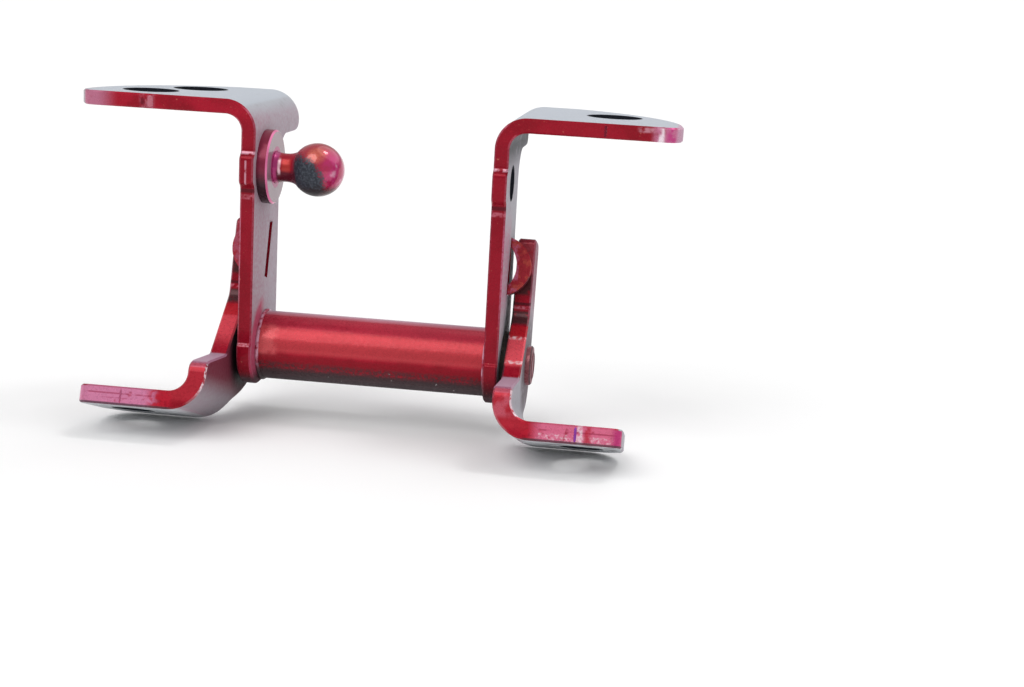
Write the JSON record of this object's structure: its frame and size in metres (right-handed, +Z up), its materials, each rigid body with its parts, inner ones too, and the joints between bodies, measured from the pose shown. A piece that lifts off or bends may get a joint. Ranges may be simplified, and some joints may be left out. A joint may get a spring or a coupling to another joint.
{
  "type": "car door hinge",
  "caption": "Pressed-steel car door hinge: flanged door brackets joined by a cross tube swing on a long pin between flanged body leaves, with a ball stud and lanced opening stops.",
  "frame": {"origin": "on the pivot line, midway between the two door brackets", "axes": "+X along the hinge pin to the right, +Y to the back of the hinge, +Z up from the pin to the door flanges"},
  "size_m": [0.1442, 0.0653, 0.0788],
  "materials": {
    "red_paint": "glossy dark red metallic paint over steel",
    "worn_ball": "red paint worn to dark greasy steel on the ball",
    "dark_bush": "dark bronze bush, dull"
  },
  "bodies": {
    "body_side": {"body_leaf_left": "red_paint", "body_leaf_right": "red_paint", "hinge_pin": "red_paint"},
    "door_side": {"door_bracket_left": "red_paint", "door_bracket_right": "red_paint", "cross_tube": "red_paint", "ball_stud": "worn_ball", "pin_bush_left": "dark_bush", "pin_bush_right": "dark_bush"}
  },
  "joints": [
    {"name": "door_swing", "type": "hinge", "parent": "body_side", "child": "door_side", "pos_m": [0, 0, 0], "axis": [1, 0, 0], "range_deg": [0, 75]}
  ]
}
